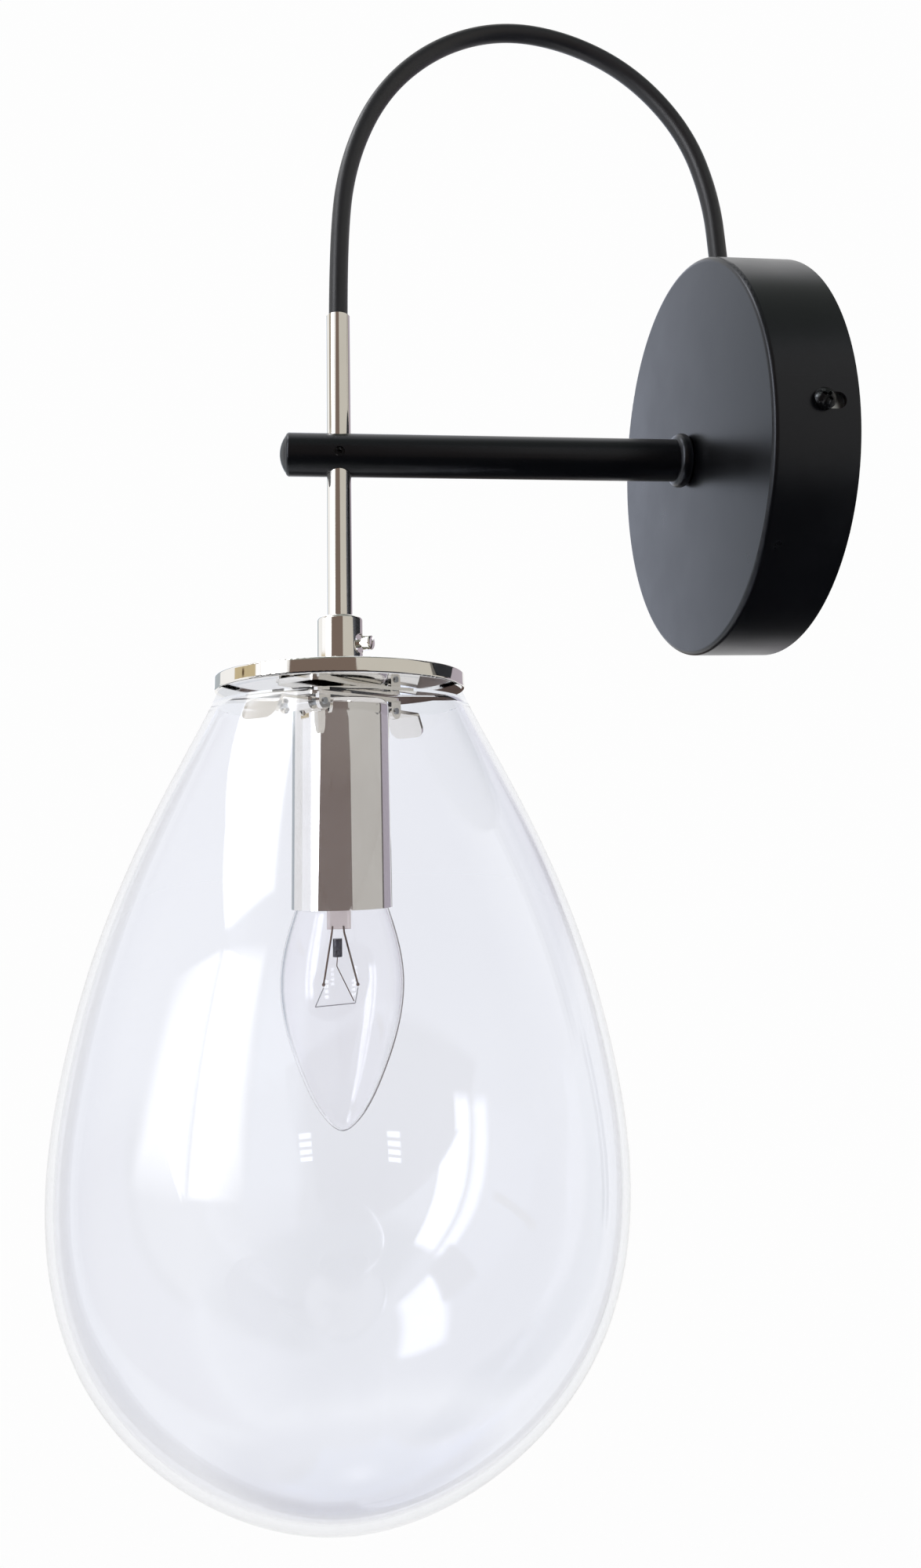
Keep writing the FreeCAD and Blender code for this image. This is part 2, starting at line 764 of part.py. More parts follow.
def lampholder_body():
    """Moulded lampholder: a threaded neck on the rod's end and a stepped barrel round the lamp's cap."""
    hole = rod_thread_diameter / 2 + 0.02
    radius = holder_radius
    return turned_about_rod(outline([
        (hole, holder_top),
        (6.2, holder_top),
        (7.6, holder_top - 2.0),
        (radius - 1.2, holder_top - 3.2),
        (radius, holder_top - 4.4),
        (radius, holder_waist_z),
        (radius - 0.7, holder_waist_z - 0.8),
        (radius - 0.7, holder_mouth + 2.4),
        (radius, holder_mouth + 1.6),
        (radius, holder_mouth),
        (holder_bore_radius + 1.1, holder_mouth),
        (holder_bore_radius, holder_mouth + 2.0),
        (holder_bore_radius, holder_floor),
        (holder_chamber_radius, holder_floor),
        (holder_chamber_radius, holder_chamber_top),
        (hole, holder_chamber_top),
    ]))


def lampholder_shell():
    """Brass shell inside the lampholder that takes the lamp's thread."""
    inner = socket_shell_radius - socket_shell_sheet
    return ring(socket_shell_radius, inner, vec(0, rod_y, socket_shell_low), UP, socket_shell_length)


def lampholder_contact():
    """Sprung brass tongue for the lamp's centre contact."""
    half_width = 1.6
    top = holder_chamber_top - 0.2
    tongue = box(vec(-4.6, rod_y - half_width, top - 0.5), vec(2.4, rod_y + half_width, top))
    dimple = rod(1.3, vec(0, rod_y, top - 1.4), UP, 0.9)
    return tongue.fuse(dimple).removeSplitter()


# Candle lamp

def lamp_cap():
    """Screw cap of the lamp: shell with a skirt."""
    radius = lamp_cap_radius
    return turned_about_rod(outline([
        (radius - 0.9, lamp_base - 2.6),
        (radius, lamp_base - 3.6),
        (radius, -107.6),
        (radius - 0.5, -108.2),
        (radius + 0.35, -111.0),
        (radius + 0.35, -112.6),
        (radius - 0.05, -112.6),
        (radius - 0.85, -108.6),
        (radius - 0.35, -107.4),
        (radius - 0.35, lamp_base - 3.9),
        (radius - 1.3, lamp_base - 2.9),
    ]))


def lamp_insulator():
    """Dark glass insulator between the cap's shell and its centre contact."""
    radius = lamp_cap_radius
    return turned_about_rod(outline([
        (0, lamp_base - 0.9),
        (2.7, lamp_base - 0.9),
        (radius - 1.15, lamp_base - 2.5),
        (radius - 1.35, lamp_base - 3.0),
        (radius - 1.35, lamp_base - 3.9),
        (0, lamp_base - 3.9),
    ]))


def lamp_contact():
    """Solder button under the lamp."""
    return turned_about_rod(outline([
        (0, lamp_base - 0.85),
        (2.3, lamp_base - 0.85),
        dome(2.3, lamp_base - 0.85, lamp_base),
        (0, lamp_base),
    ]))


def lamp_curve(points):
    """Smooth edge through points given as radius and height."""
    curve = Part.BSplineCurve()
    curve.interpolate(Points=[vec(r, 0, z) for r, z in points])
    return curve.toShape()


def lamp_envelope():
    """Clear candle bulb: neck in the cap, round shoulders, widest below the cover, then a round tip."""
    thin = lamp_glass_wall
    tip_rim = lamp_tip + lamp_tip_rise
    inner_rim = tip_rim + thin * 0.7
    inner_tip = lamp_tip + 1.4 * thin
    outer = [(lamp_neck_radius, lamp_neck_end)] + lamp_shoulder
    outer += [(lamp_diameter / 2, lamp_widest)] + lamp_taper + [(lamp_tip_radius, tip_rim)]
    inner = [(lamp_neck_radius - thin, lamp_neck_end)]
    inner += [(r - thin, z - thin * 0.4) for r, z in lamp_shoulder]
    inner += [(lamp_diameter / 2 - thin, lamp_widest)]
    inner += [(r - thin * 0.9, z + thin * 0.5) for r, z in lamp_taper]
    inner += [(lamp_tip_radius - thin * 0.7, inner_rim)]
    edges = [lamp_curve(outer), lamp_curve(inner)]
    edges += outline([
        (lamp_tip_radius, tip_rim),
        dome(lamp_tip_radius, tip_rim, lamp_tip),
        (0, lamp_tip),
        (0, inner_tip),
        dome(lamp_tip_radius - thin * 0.7, inner_rim, inner_tip),
        (lamp_tip_radius - thin * 0.7, inner_rim),
    ])[:-1]
    neck_edge = Part.LineSegment(vec(outer[0][0], 0, lamp_neck_end), vec(inner[0][0], 0, lamp_neck_end))
    edges.append(neck_edge.toShape())
    return turned_about_rod(Part.__sortEdges__(edges))


def lamp_stem():
    """Glass foot of the filament mount: a flare on the neck, a stem and a flat press."""
    stem = 2.2
    press_top = -127.2
    flare = turned_about_rod(outline([
        (0, lamp_neck_end),
        (lamp_neck_radius - lamp_glass_wall, lamp_neck_end),
        (3.0, -114.0),
        (stem, -119.0),
        (stem, press_top),
        (0, press_top),
    ]))
    press = box(vec(-1.3, rod_y - 4.0, -134.4), vec(1.3, rod_y + 2.4, press_top))
    press = press.makeFillet(1.0, [e for e in press.Edges if abs(e.tangentAt(e.FirstParameter).z) > 0.99])
    return flare.fuse(press).removeSplitter().cut(lamp_wires())


def wire_path(points, diameter):
    """Straight round wires joined by balls at their corners."""
    body = None
    for start, end in zip(points[:-1], points[1:]):
        piece = rod(diameter / 2, start, end - start, (end - start).Length)
        body = piece if body is None else body.fuse(piece)
    for corner in points[1:-1]:
        body = body.fuse(Part.makeSphere(diameter / 2, corner))
    return body


def mount_points(places):
    """Points of the filament's mount, given as distance in front of the rod's axis, offset and height."""
    return [vec(x, rod_y - forward, z) for x, forward, z in places]


def lamp_wires():
    """Two lead wires with crimped ends and one support wire, held in the press."""
    left = mount_points([(0, 2.5, -133.6), (0, 2.7, -135.4), (0.3, 4.9, -148.2)])
    right = mount_points([(0, -0.4, -133.6), (0, -0.6, -135.4), (0.3, -4.1, -148.4)])
    support = mount_points([(0, 1.2, -140.8), (-0.5, 1.4, -143.8), (-1.4, -3.1, -152.7)])
    wires = []
    for lead in (left, right):
        knot = Part.makeSphere(lead_knot_radius, lead[-1])
        wires.append(wire_path(lead, lead_wire_diameter).fuse(knot).removeSplitter())
    wires.append(wire_path(support, support_wire_diameter))
    return Part.makeCompound(wires)


def lamp_bead():
    """Dark bead on the mount that carries the support wire."""
    return rod(1.25, vec(0, rod_y - 1.2, -141.4), UP, 4.6).cut(lamp_wires())


def lamp_filament():
    """Coiled filament, drawn as its outer wire, in three spans."""
    route = mount_points([(0.3, 4.9, -148.95), (0.2, 7.1, -153.6), (-1.1, -3.4, -153.2), (0.3, -4.1, -149.15)])
    return wire_path(route, filament_diameter)


# Cable

def cable_path(points, bend_share):
    """Straight runs joined by tangent arcs, each as large as its two runs allow."""
    corners = [vec(0, y, z) for y, z in points]
    edges = []
    here = corners[0]
    for i in range(1, len(corners) - 1):
        before = corners[i] - corners[i - 1]
        after = corners[i + 1] - corners[i]
        reach = bend_share * min(before.Length, after.Length)
        half_turn = before.getAngle(after) / 2
        radius = reach / math.tan(half_turn)
        print("cable bend", i, "radius", round(radius, 1), "run", round(before.Length, 1))
        into = vec(before.x, before.y, before.z).normalize()
        out = vec(after.x, after.y, after.z).normalize()
        arc_start = corners[i] - into * reach
        arc_end = corners[i] + out * reach
        bisector = (out - into).normalize()
        centre = corners[i] + bisector * (radius / math.cos(half_turn))
        middle = centre - bisector * radius
        edges.append(Part.LineSegment(here, arc_start).toShape())
        edges.append(Part.Arc(arc_start, middle, arc_end).toShape())
        here = arc_end
    edges.append(Part.LineSegment(here, corners[-1]).toShape())
    return Part.Wire(edges)


def cable():
    """Round flex from inside the rod's mouth, over the arch and down through the bush."""
    path = cable_path(cable_route, 0.45)
    start = vec(0, cable_route[0][0], cable_route[0][1])
    section = Part.Wire(Part.makeCircle(cable_diameter / 2, start, UP))
    tube = path.makePipeShell([section], True, False)
    expected = math.pi * (cable_diameter / 2) ** 2 * path.Length
    print("cable length", round(path.Length, 1), "volume share", round(tube.Volume / expected, 4))
    return tube


def lamp_leads():
    """The two cores of the cable, bared of the sheath, inside the rod."""
    radius = core_diameter / 2
    low = rod_end + 0.4
    length = cable_route[0][1] - 0.1 - low
    cores = [rod(radius, vec(x, rod_y, low), UP, length) for x in (-core_offset, core_offset)]
    return Part.makeCompound(cores)


def terminal_leads():
    """The same cores between the cable's other end and the terminal block."""
    cores = []
    sheath_end = vec(0, -cable_entry_from_wall, cable_route[-1][1] - 0.1)
    for side in (-1, 1):
        high = sheath_end + vec(side * core_offset, 0, 0)
        knee = vec(side * block_pole_x, -cable_entry_from_wall, block_high + 7.5)
        low = vec(side * block_pole_x, -cable_entry_from_wall, block_high - 5)
        cores.append(wire_path([high, high + vec(0, 0, -2), knee, low], core_diameter))
    return Part.makeCompound(cores)


os.makedirs("parts", exist_ok=True)
save("wall_bracket", wall_bracket())
save("earth_screw", earth_screw())
save("terminal_block", terminal_block())
save("terminal_screws", terminal_screws())
save("terminal_leads", terminal_leads())
save("canopy_cover", canopy_cover())
save("canopy_side_screws", canopy_side_screws())
save("cable_bush", cable_bush())
save("arm_nipple", arm_nipple())
save("arm_washer", arm_washer())
save("arm_nut", arm_nut())
save("arm_collar", arm_collar())
save("arm_tube", arm_tube())
save("arm_end_cap", arm_end_cap())
save("arm_grub_screw", arm_grub_screw())
save("cable", cable())
save("rod_tube", rod_tube())
save("lamp_leads", lamp_leads())
save("shade_coupler", shade_coupler())
save("coupler_screw", coupler_screw())
save("disc_cap", disc_cap())
save("glass_shade", glass_shade())
save("holder_carrier", holder_carrier())
save("wing_pins", wing_pins())
save("front_wing", wing(wing_angle))
save("rear_wing", wing(wing_angle + 180))
save("lampholder_cover", lampholder_cover())
save("lock_nut", lock_nut())
save("lampholder_body", lampholder_body())
save("lampholder_shell", lampholder_shell())
save("lampholder_contact", lampholder_contact())
save("lamp_cap", lamp_cap())
save("lamp_insulator", lamp_insulator())
save("lamp_contact", lamp_contact())
save("lamp_envelope", lamp_envelope())
save("lamp_stem", lamp_stem())
save("lamp_wires", lamp_wires())
save("lamp_bead", lamp_bead())
save("lamp_filament", lamp_filament())
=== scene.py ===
import math

import bpy
from mathutils import Matrix, Vector
from mathutils.geometry import interpolate_bezier


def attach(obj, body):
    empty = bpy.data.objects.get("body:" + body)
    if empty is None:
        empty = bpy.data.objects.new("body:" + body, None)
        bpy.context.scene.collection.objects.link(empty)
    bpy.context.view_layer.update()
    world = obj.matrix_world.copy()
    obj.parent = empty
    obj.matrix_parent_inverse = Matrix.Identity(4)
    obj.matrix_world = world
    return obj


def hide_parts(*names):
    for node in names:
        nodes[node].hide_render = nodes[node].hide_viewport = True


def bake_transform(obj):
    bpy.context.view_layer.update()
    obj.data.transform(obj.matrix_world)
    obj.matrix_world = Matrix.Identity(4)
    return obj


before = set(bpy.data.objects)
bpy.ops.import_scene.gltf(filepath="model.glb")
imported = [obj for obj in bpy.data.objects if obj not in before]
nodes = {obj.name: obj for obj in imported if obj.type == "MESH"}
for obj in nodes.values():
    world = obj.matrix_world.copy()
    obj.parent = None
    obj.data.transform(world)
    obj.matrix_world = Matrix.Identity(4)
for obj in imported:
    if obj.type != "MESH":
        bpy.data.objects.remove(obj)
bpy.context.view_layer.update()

# The photograph's viewpoint: the camera stands at the sconce's right side, a hand's breadth
# below the arm, and looks slightly up. Its axis misses the middle of the frame, hence the shift.
MM = 0.001
image_height = 2000
image_width = 1175
focal_pixels = 1313.2
axis_pixel = (526.6, 752.2)
view_azimuth = math.radians(83.87)
view_elevation = math.radians(-13.84)
view_roll = math.radians(-1.36)
view_distance = 404.6 * MM
view_target = Vector((-102.0, -97.9, -15.9)) * MM
backward = Vector((
    math.sin(view_azimuth) * math.cos(view_elevation),
    -math.cos(view_azimuth) * math.cos(view_elevation),
    math.sin(view_elevation),
))
level_right = Vector((math.cos(view_azimuth), math.sin(view_azimuth), 0))
level_up = backward.cross(level_right)
camera_right = math.cos(view_roll) * level_right + math.sin(view_roll) * level_up
camera_up = -math.sin(view_roll) * level_right + math.cos(view_roll) * level_up
camera_data = bpy.data.cameras.new("photo_camera")
camera = bpy.data.objects.new("photo_camera", camera_data)
bpy.context.scene.collection.objects.link(camera)
film_width = 36.0
camera_data.sensor_width = film_width
camera_data.lens = focal_pixels / image_height * film_width
camera_data.shift_x = (image_width / 2 - axis_pixel[0]) / image_height
camera_data.shift_y = (axis_pixel[1] - image_height / 2) / image_height
camera_data.clip_start = 0.01
camera_data.clip_end = 50
camera.matrix_world = Matrix((
    (camera_right.x, camera_up.x, backward.x, view_target.x + backward.x * view_distance),
    (camera_right.y, camera_up.y, backward.y, view_target.y + backward.y * view_distance),
    (camera_right.z, camera_up.z, backward.z, view_target.z + backward.z * view_distance),
    (0, 0, 0, 1),
))
bpy.context.scene.camera = camera

# The cable: 5.8 mm round flex in a black PVC sheath. It leaves the rod's mouth, arches over the arm
# and goes down through the bush in the canopy's rim.
flex_diameter = 5.8
flex_route = [
    (-130.0, 34.0),
    (-130.0, 75.0),
    (-125.8, 103.6),
    (-114.8, 128.6),
    (-96.6, 146.4),
    (-74.2, 154.6),
    (-50.8, 151.2),
    (-29.4, 139.0),
    (-13.0, 117.6),
    (-6.4, 93.0),
    (-5.9, 69.0),
    (-5.9, 46.0),
]


def linear(hex_colour):
    """Scene-linear RGBA of an sRGB hex colour."""
    parts = [int(hex_colour[i:i + 2], 16) / 255 for i in (1, 3, 5)]
    return [c / 12.92 if c <= 0.04045 else ((c + 0.055) / 1.055) ** 2.4 for c in parts] + [1.0]


def add_node(tree, kind, inputs=(), links=(), **settings):
    """Add a node with its settings, its input values and its links from other nodes' sockets."""
    node = tree.nodes.new("ShaderNode" + kind)
    for name, value in settings.items():
        setattr(node, name, value)
    for name, value in dict(inputs).items():
        node.inputs[name].default_value = value
    for name, socket in dict(links).items():
        tree.links.new(socket, node.inputs[name])
    return node


def new_material(name):
    """Empty material with its output node."""
    material = bpy.data.materials.new(name)
    material.use_nodes = True
    material.node_tree.nodes.clear()
    return material, material.node_tree, add_node(material.node_tree, "OutputMaterial")


def blend_of(tree, factor, first, second):
    """Mix of two sRGB hex colours by a factor socket, through the Mix node's colour sockets."""
    colour_a, colour_b, colour_result = 6, 7, 2
    mix = add_node(tree, "Mix", links={"Factor": factor}, data_type="RGBA")
    mix.inputs[colour_a].default_value = linear(first)
    mix.inputs[colour_b].default_value = linear(second)
    return mix.outputs[colour_result]


def dress(piece, material):
    """Give a piece one material in every slot, adding a slot if it has none."""
    if not piece.material_slots:
        piece.data.materials.append(material)
    for material_slot in piece.material_slots:
        material_slot.material = material
    return piece


def line_and_tube(name, points, diameter, roundness):
    """Smooth NURBS line through a cord's or wire's control points, and the tube along it."""
    curve = bpy.data.curves.new(name, "CURVE")
    curve.dimensions = "3D"
    curve.resolution_u = 12
    spline = curve.splines.new("NURBS")
    spline.points.add(len(points) - 1)
    for control, place in zip(spline.points, points):
        control.co = (place[0] * MM, place[1] * MM, place[2] * MM, 1)
    spline.order_u = 3
    spline.use_endpoint_u = True
    holder = bpy.data.objects.new(name, curve)
    bpy.context.scene.collection.objects.link(holder)
    bpy.context.view_layer.update()
    line = [tuple(v.co) for v in bpy.data.meshes.new_from_object(holder).vertices]
    curve.bevel_depth = diameter / 2 * MM
    curve.bevel_resolution = roundness
    curve.use_fill_caps = True
    bpy.context.view_layer.update()
    shown = holder.evaluated_get(bpy.context.evaluated_depsgraph_get())
    mesh = bpy.data.meshes.new_from_object(shown)
    bpy.data.objects.remove(holder)
    tube = bpy.data.objects.new(name, mesh)
    bpy.context.scene.collection.objects.link(tube)
    for face in tube.data.polygons:
        face.use_smooth = True
    return line, tube


def pvc_sheath():
    """Soft PVC, extruded: an even dull sheen, broken by a fine grain and long faint drag marks."""
    material, tree, output = new_material("extruded_pvc_sheath")
    place = add_node(tree, "TexCoord").outputs["Object"]
    grain = add_node(tree, "TexNoise", {"Scale": 1 / (0.7 * MM), "Detail": 3}, {"Vector": place})
    marks = add_node(tree, "TexNoise", {"Scale": 1 / (14 * MM), "Detail": 2}, {"Vector": place})
    tone = blend_of(tree, marks.outputs["Fac"], "#121217", "#1c1d24")
    gloss = add_node(
        tree, "MapRange", {"To Min": 0.34, "To Max": 0.50}, {"Value": marks.outputs["Fac"]},
    )
    bump = add_node(
        tree, "Bump", {"Strength": 0.25, "Distance": 0.03 * MM}, {"Height": grain.outputs["Fac"]},
    )
    shader = add_node(
        tree,
        "BsdfPrincipled",
        {"IOR": 1.53},
        {"Base Color": tone, "Roughness": gloss.outputs[0], "Normal": bump.outputs[0]},
    )
    tree.links.new(shader.outputs[0], output.inputs["Surface"])
    return material


flex_points = [(0, y, z) for y, z in flex_route]
flex_path, flex = line_and_tube("flex", flex_points, flex_diameter, roundness=10)
dress(flex, pvc_sheath())
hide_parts("cable")
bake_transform(flex)


# The canopy, its collar, the arm and the arm's end plug: steel, powder coated in satin black. The
# coat gives a soft wide sheen with an even fine peel, and slow drifts of sheen across flat faces.
def powder_coat():
    """Satin black powder coat: peel of about 0.6 mm, with cloudy drifts of sheen."""
    material, tree, output = new_material("satin_black_powder_coat")
    place = add_node(tree, "TexCoord").outputs["Object"]
    peel = add_node(tree, "TexNoise", {"Scale": 1 / (0.6 * MM), "Detail": 2}, {"Vector": place})
    drift = add_node(tree, "TexNoise", {"Scale": 1 / (14 * MM), "Detail": 5}, {"Vector": place})
    tone = blend_of(tree, drift.outputs["Fac"], "#060608", "#0b0c10")
    gloss = add_node(
        tree, "MapRange", {"To Min": 0.24, "To Max": 0.36}, {"Value": drift.outputs["Fac"]},
    )
    bump = add_node(
        tree, "Bump", {"Strength": 0.12, "Distance": 0.02 * MM}, {"Height": peel.outputs["Fac"]},
    )
    shader = add_node(
        tree,
        "BsdfPrincipled",
        {"IOR": 1.5, "Specular Tint": linear("#e3e8f4")},
        {"Base Color": tone, "Roughness": gloss.outputs[0], "Normal": bump.outputs[0]},
    )
    tree.links.new(shader.outputs[0], output.inputs["Surface"])
    return material


black_coat = powder_coat()
for name in ("canopy_cover", "arm_collar", "arm_tube", "arm_end_cap"):
    dress(nodes[name], black_coat)


# The two cross-head screws in the canopy's rim and the set screw in the arm: hardened steel with
# a black oxide finish, which is thin, so bare steel glints along the edges of the recesses.
def black_oxide():
    """Blackened steel: dark, semi-gloss, with small patches where the finish has rubbed off."""
    material, tree, output = new_material("black_oxide_steel")
    place = add_node(tree, "TexCoord").outputs["Object"]
    rub = add_node(tree, "TexNoise", {"Scale": 1 / (0.9 * MM), "Detail": 4}, {"Vector": place})
    bare = add_node(
        tree,
        "MapRange",
        {"From Min": 0.56, "From Max": 0.68},
        {"Value": rub.outputs["Fac"]},
        clamp=True,
    )
    tone = blend_of(tree, bare.outputs[0], "#1b1c1f", "#5d6063")
    gloss = add_node(tree, "MapRange", {"To Min": 0.22, "To Max": 0.38}, {"Value": rub.outputs["Fac"]})
    bump = add_node(
        tree, "Bump", {"Strength": 0.2, "Distance": 0.03 * MM}, {"Height": rub.outputs["Fac"]},
    )
    shader = add_node(
        tree,
        "BsdfPrincipled",
        {"Metallic": 0.8},
        {"Base Color": tone, "Roughness": gloss.outputs[0], "Normal": bump.outputs[0]},
    )
    tree.links.new(shader.outputs[0], output.inputs["Surface"])
    return material


black_screw_steel = black_oxide()
for name in ("canopy_side_screws", "arm_grub_screw"):
    dress(nodes[name], black_screw_steel)


# The strap on the wall, the hollow stud with its washer and nut, the wings' pins and the nut on
# the rod: mild steel, pressed or turned and zinc plated, a cool grey with cloudy brightness.
def zinc_plate():
    """Zinc plate on pressed steel: faint blue-grey clouds and fine rolling lines."""
    material, tree, output = new_material("zinc_plated_steel")
    place = add_node(tree, "TexCoord").outputs["Object"]
    cloud = add_node(tree, "TexNoise", {"Scale": 1 / (5 * MM), "Detail": 5}, {"Vector": place})
    stretched = add_node(tree, "Mapping", {"Scale": (0.05, 1, 1)}, {"Vector": place})
    lines = add_node(
        tree, "TexNoise", {"Scale": 1 / (0.4 * MM), "Detail": 2}, {"Vector": stretched.outputs[0]},
    )
    tone = blend_of(tree, cloud.outputs["Fac"], "#9da3a8", "#c3c6c7")
    gloss = add_node(
        tree, "MapRange", {"To Min": 0.26, "To Max": 0.46}, {"Value": cloud.outputs["Fac"]},
    )
    bump = add_node(
        tree, "Bump", {"Strength": 0.15, "Distance": 0.02 * MM}, {"Height": lines.outputs["Fac"]},
    )
    shader = add_node(
        tree,
        "BsdfPrincipled",
        {"Metallic": 1.0},
        {"Base Color": tone, "Roughness": gloss.outputs[0], "Normal": bump.outputs[0]},
    )
    tree.links.new(shader.outputs[0], output.inputs["Surface"])
    return material


zinc_steel = zinc_plate()
for name in ("wall_bracket", "arm_nipple", "arm_washer", "arm_nut", "wing_pins", "lock_nut"):
    dress(nodes[name], zinc_steel)


# The earth screw, the terminals' screws, the lampholder's threaded shell and its sprung contact:
# plain brass, turned or pressed, with a little tarnish in its hollows.
def plain_brass():
    """Unplated brass: warm yellow, brighter where it was handled, browner in patches."""
    material, tree, output = new_material("plain_brass")
    place = add_node(tree, "TexCoord").outputs["Object"]
    tarnish = add_node(tree, "TexNoise", {"Scale": 1 / (2.5 * MM), "Detail": 4}, {"Vector": place})
    tone = blend_of(tree, tarnish.outputs["Fac"], "#8f6f35", "#d8b66c")
    gloss = add_node(
        tree, "MapRange", {"To Min": 0.42, "To Max": 0.2}, {"Value": tarnish.outputs["Fac"]},
    )
    bump = add_node(
        tree, "Bump", {"Strength": 0.1, "Distance": 0.02 * MM}, {"Height": tarnish.outputs["Fac"]},
    )
    shader = add_node(
        tree,
        "BsdfPrincipled",
        {"Metallic": 1.0},
        {"Base Color": tone, "Roughness": gloss.outputs[0], "Normal": bump.outputs[0]},
    )
    tree.links.new(shader.outputs[0], output.inputs["Surface"])
    return material


brass = plain_brass()
for name in ("earth_screw", "terminal_screws", "lampholder_shell", "lampholder_contact"):
    dress(nodes[name], brass)


# The terminal block, the cable's bush and the lampholder's barrel: injection moulded, the block
# in white polyamide, the others in black. Moulding leaves a fine spark-eroded grain.
def moulding(name, dark, light, smooth, dull):
    """Moulded plastic with a 0.25 mm grain and a slow drift of gloss from the mould's flow."""
    material, tree, output = new_material(name)
    place = add_node(tree, "TexCoord").outputs["Object"]
    grain = add_node(tree, "TexNoise", {"Scale": 1 / (0.25 * MM), "Detail": 2}, {"Vector": place})
    flow = add_node(tree, "TexNoise", {"Scale": 1 / (8 * MM), "Detail": 2}, {"Vector": place})
    tone = blend_of(tree, flow.outputs["Fac"], dark, light)
    gloss = add_node(
        tree, "MapRange", {"To Min": smooth, "To Max": dull}, {"Value": flow.outputs["Fac"]},
    )
    bump = add_node(
        tree, "Bump", {"Strength": 0.2, "Distance": 0.015 * MM}, {"Height": grain.outputs["Fac"]},
    )
    shader = add_node(
        tree,
        "BsdfPrincipled",
        {"IOR": 1.52},
        {"Base Color": tone, "Roughness": gloss.outputs[0], "Normal": bump.outputs[0]},
    )
    tree.links.new(shader.outputs[0], output.inputs["Surface"])
    return material


white_moulding = moulding("moulded_white_polyamide", "#d3cfc4", "#e4e1d8", smooth=0.38, dull=0.5)
black_moulding = moulding("moulded_black_resin", "#131316", "#1d1d20", smooth=0.34, dull=0.5)
dress(nodes["terminal_block"], white_moulding)
for name in ("cable_bush", "lampholder_body"):
    dress(nodes[name], black_moulding)


# The two cores of the cable, bared of their sheath inside the canopy and the rod: stranded copper
# in extruded PVC, one brown and one blue.
def core_insulation():
    """Brown on one side of the object's middle and blue on the other, with an extruded sheen."""
    material, tree, output = new_material("extruded_core_insulation")
    place = add_node(tree, "TexCoord").outputs["Object"]
    parts = add_node(tree, "SeparateXYZ", links={"Vector": place})
    side = add_node(tree, "Math", {1: 0.0}, {0: parts.outputs["X"]}, operation="GREATER_THAN")
    drift = add_node(tree, "TexNoise", {"Scale": 1 / (6 * MM), "Detail": 2}, {"Vector": place})
    tone = blend_of(tree, side.outputs[0], "#5a2e17", "#1e4f8c")
    gloss = add_node(
        tree, "MapRange", {"To Min": 0.3, "To Max": 0.45}, {"Value": drift.outputs["Fac"]},
    )
    shader = add_node(
        tree, "BsdfPrincipled", {"IOR": 1.53}, {"Base Color": tone, "Roughness": gloss.outputs[0]},
    )
    tree.links.new(shader.outputs[0], output.inputs["Surface"])
    return material


insulated_core = core_insulation()
for name in ("terminal_leads", "lamp_leads"):
    dress(nodes[name], insulated_core)


# The rod, the sleeve with its screw, the disc, the lampholder's cover and the glass holder: brass
# and steel, polished and nickel plated. A mirror with a warm cast and hairline wipe marks.
def polished_nickel():
    """Bright nickel plate over polished metal: near mirror, with faint wipe marks and haze."""
    material, tree, output = new_material("polished_nickel_plate")
    place = add_node(tree, "TexCoord").outputs["Object"]
    haze = add_node(tree, "TexNoise", {"Scale": 1 / (9 * MM), "Detail": 4}, {"Vector": place})
    wave = add_node(tree, "TexNoise", {"Scale": 1 / (18 * MM), "Detail": 1}, {"Vector": place})
    wipe_place = add_node(tree, "Mapping", {"Scale": (1, 1, 0.06)}, {"Vector": place})
    wipes = add_node(
        tree, "TexNoise", {"Scale": 1 / (0.5 * MM), "Detail": 3}, {"Vector": wipe_place.outputs[0]},
    )
    gloss = add_node(
        tree, "MapRange", {"To Min": 0.015, "To Max": 0.07}, {"Value": haze.outputs["Fac"]},
    )
    tone = blend_of(tree, haze.outputs["Fac"], "#ebe8e3", "#f4f2ee")
    slow = add_node(
        tree, "Bump", {"Strength": 0.06, "Distance": 0.05 * MM}, {"Height": wave.outputs["Fac"]},
    )
    bump = add_node(
        tree,
        "Bump",
        {"Strength": 0.03, "Distance": 0.01 * MM},
        {"Height": wipes.outputs["Fac"], "Normal": slow.outputs[0]},
    )
    shader = add_node(
        tree,
        "BsdfPrincipled",
        {"Metallic": 1.0},
        {"Base Color": tone, "Roughness": gloss.outputs[0], "Normal": bump.outputs[0]},
    )
    tree.links.new(shader.outputs[0], output.inputs["Surface"])
    return material


bright_nickel = polished_nickel()
for name in (
    "rod_tube",
    "shade_coupler",
    "coupler_screw",
    "disc_cap",
    "lampholder_cover",
    "holder_carrier",
    "front_wing",
    "rear_wing",
):
    dress(nodes[name], bright_nickel)


